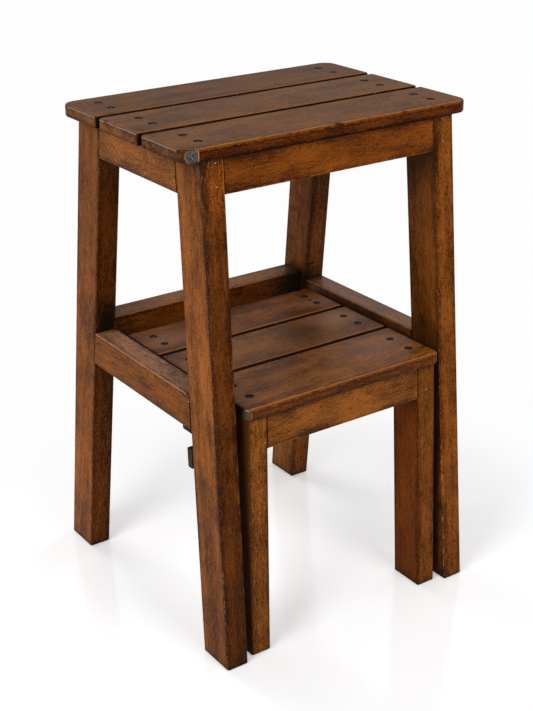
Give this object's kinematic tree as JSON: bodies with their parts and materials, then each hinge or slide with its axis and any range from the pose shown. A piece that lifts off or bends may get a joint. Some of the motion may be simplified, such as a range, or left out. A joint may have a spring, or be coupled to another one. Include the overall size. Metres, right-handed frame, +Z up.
{
  "type": "step stool chair",
  "caption": "Tall slatted wooden stool with splayed legs and a low slatted step that nests under the seat and pulls out on runners.",
  "frame": {"origin": "on the floor, in the middle of the bounding box of the stool with its step nested", "axes": "+Z up; X runs along the slats; the step pulls out towards -Y"},
  "size_m": [0.404, 0.4077, 0.64],
  "materials": {
    "seat_wood": "dark walnut stain, worn satin",
    "leg_wood": "walnut stain, worn satin",
    "apron_wood": "walnut stain, worn satin",
    "rail_wood": "walnut stain, worn satin",
    "step_wood": "dark walnut stain, worn satin",
    "dark_wood": "near-black stain, matt",
    "screw_steel": "blackened steel, dull"
  },
  "bodies": {
    "stool": {"seat_slat_front": "seat_wood", "seat_slat_middle": "seat_wood", "seat_slat_rear": "seat_wood", "leg_front_left": "leg_wood", "leg_front_right": "leg_wood", "leg_rear_left": "leg_wood", "leg_rear_right": "leg_wood", "apron_front": "apron_wood", "apron_rear": "apron_wood", "apron_left": "apron_wood", "apron_right": "apron_wood", "side_rail_left": "rail_wood", "side_rail_right": "rail_wood", "rear_rail": "rail_wood", "runner_left": "rail_wood", "runner_right": "rail_wood", "tie_batten": "dark_wood", "rail_pad_left": "dark_wood", "rail_pad_right": "dark_wood", "seat_screw_1": "screw_steel", "seat_screw_2": "screw_steel", "seat_screw_3": "screw_steel", "seat_screw_4": "screw_steel", "seat_screw_5": "screw_steel", "seat_screw_6": "screw_steel", "seat_screw_7": "screw_steel", "seat_screw_8": "screw_steel", "seat_screw_9": "screw_steel", "seat_screw_10": "screw_steel", "seat_screw_11": "screw_steel", "seat_screw_12": "screw_steel"},
    "step": {"step_slat_front": "step_wood", "step_slat_middle": "step_wood", "step_slat_rear": "step_wood", "step_bearer_left": "step_wood", "step_bearer_right": "step_wood", "step_rear_rail": "step_wood", "step_leg_left": "leg_wood", "step_leg_right": "leg_wood", "step_apron_front": "apron_wood", "step_stop_left": "dark_wood", "step_stop_right": "dark_wood", "step_screw_1": "screw_steel", "step_screw_2": "screw_steel", "step_screw_3": "screw_steel", "step_screw_4": "screw_steel", "step_screw_5": "screw_steel", "step_screw_6": "screw_steel", "step_screw_7": "screw_steel", "step_screw_8": "screw_steel", "step_screw_9": "screw_steel", "step_screw_10": "screw_steel", "step_screw_11": "screw_steel", "step_screw_12": "screw_steel"}
  },
  "joints": [
    {"name": "step_slide", "type": "slide", "parent": "stool", "child": "step", "axis": [0, -1, 0], "range_m": [0, 0.19]}
  ]
}
